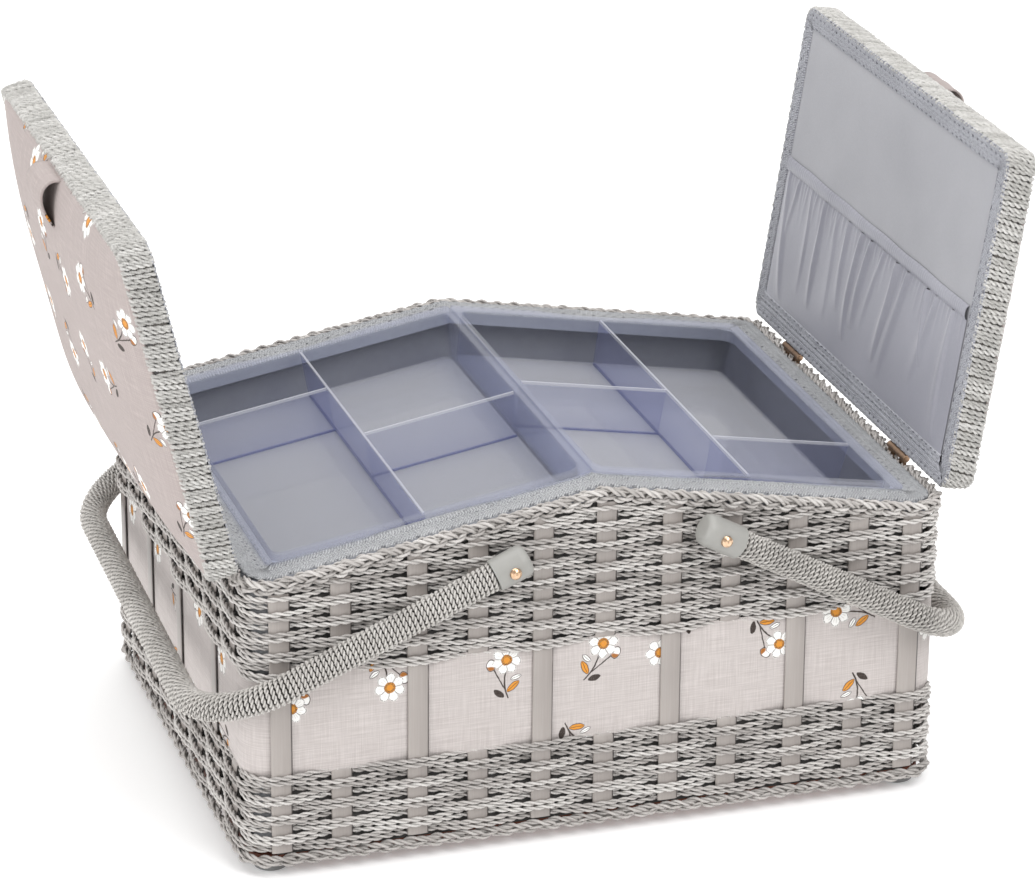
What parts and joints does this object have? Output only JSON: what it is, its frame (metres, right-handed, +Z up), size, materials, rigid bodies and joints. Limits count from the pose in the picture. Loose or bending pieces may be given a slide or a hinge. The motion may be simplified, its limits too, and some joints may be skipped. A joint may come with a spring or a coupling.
{
  "type": "sewing box",
  "caption": "Woven sewing box with a gabled rim, lift-out clear trays, outward-opening padded lids and swinging bail handles, standing on round feet.",
  "frame": {"origin": "centre of the plane that the feet stand on, midway between the front and back walls and under the ridge", "axes": "+X along the box's length, to the right seen from the front; +Y from front to back; +Z up"},
  "size_m": [0.5287, 0.3526, 0.3671],
  "materials": {
    "cord": "twisted two-ply cord, matt",
    "slat": "flat cane-like slat, satin",
    "base_wood": "stained board",
    "frame_wood": "raw plywood",
    "print_fabric": "printed linen weave",
    "lining": "satin lining",
    "gimp": "braided gimp",
    "wadding": "soft wadding",
    "tray_plastic": "clear, slight violet tint",
    "cap_plastic": "semi-matt grey",
    "handle_wrap": "fine twine, close wound",
    "handle_core": "tube",
    "brass": "polished",
    "steel": "plain",
    "foot_plastic": "satin"
  },
  "bodies": {
    "box": {"base_board": "base_wood", "base_braid": "cord", "feet": "foot_plastic", "foot_screws": "steel", "outer_slats": "slat", "inner_slats": "slat", "lower_weave": "cord", "upper_weave": "cord", "rim_border": "cord", "fabric_band": "print_fabric", "front_wall_board": "frame_wood", "back_wall_board": "frame_wood", "left_wall_board": "frame_wood", "right_wall_board": "frame_wood", "box_lining": "lining", "left_rim_frame": "frame_wood", "right_rim_frame": "frame_wood", "rim_gimp": "gimp", "hinge_box_leaves": "brass", "hinge_pins": "steel", "hinge_box_screws": "brass", "handle_rivets": "brass", "rivet_washers": "cap_plastic"},
    "left_lid": {"left_lid_frame": "frame_wood", "left_lid_board": "frame_wood", "left_lid_edge_braid": "cord", "left_lid_cover": "print_fabric", "left_lid_padding": "wadding", "left_lid_inner_gimp": "gimp", "left_lid_lining": "lining", "left_lid_pocket": "lining", "left_lid_pocket_elastic": "gimp", "left_lid_pull_tab": "print_fabric", "left_lid_hinge_leaves": "brass", "left_lid_hinge_screws": "brass"},
    "left_tray": {"left_tray": "tray_plastic", "left_tray_dividers": "tray_plastic"},
    "left_handle": {"left_handle_core": "handle_core", "left_handle_wrap": "handle_wrap", "left_handle_end_caps": "cap_plastic"},
    "right_lid": {"right_lid_frame": "frame_wood", "right_lid_board": "frame_wood", "right_lid_edge_braid": "cord", "right_lid_cover": "print_fabric", "right_lid_padding": "wadding", "right_lid_inner_gimp": "gimp", "right_lid_lining": "lining", "right_lid_pocket": "lining", "right_lid_pocket_elastic": "gimp", "right_lid_pull_tab": "print_fabric", "right_lid_hinge_leaves": "brass", "right_lid_hinge_screws": "brass"},
    "right_tray": {"right_tray": "tray_plastic", "right_tray_dividers": "tray_plastic"},
    "right_handle": {"right_handle_core": "handle_core", "right_handle_wrap": "handle_wrap", "right_handle_end_caps": "cap_plastic"}
  },
  "joints": [
    {"name": "left_lid_hinge", "type": "hinge", "parent": "box", "child": "left_lid", "pos_m": [-0.1974, 0, 0.1745], "axis": [0, -1, 0], "range_deg": [-93.4, 0]},
    {"name": "right_lid_hinge", "type": "hinge", "parent": "box", "child": "right_lid", "pos_m": [0.1974, 0, 0.1745], "axis": [0, 1, 0], "range_deg": [-88.9, 0]},
    {"name": "left_tray_lift", "type": "slide", "parent": "box", "child": "left_tray", "axis": [-0.1702, 0, 0.9854], "range_m": [0, 0.07]},
    {"name": "right_tray_lift", "type": "slide", "parent": "box", "child": "right_tray", "axis": [0.1702, 0, 0.9854], "range_m": [0, 0.07]},
    {"name": "left_handle_swing", "type": "hinge", "parent": "box", "child": "left_handle", "pos_m": [-0.0559, 0, 0.1708], "axis": [0, 1, 0], "range_deg": [0, 20]},
    {"name": "right_handle_swing", "type": "hinge", "parent": "box", "child": "right_handle", "pos_m": [0.0618, 0, 0.1744], "axis": [0, -1, 0], "range_deg": [0, 24]}
  ]
}
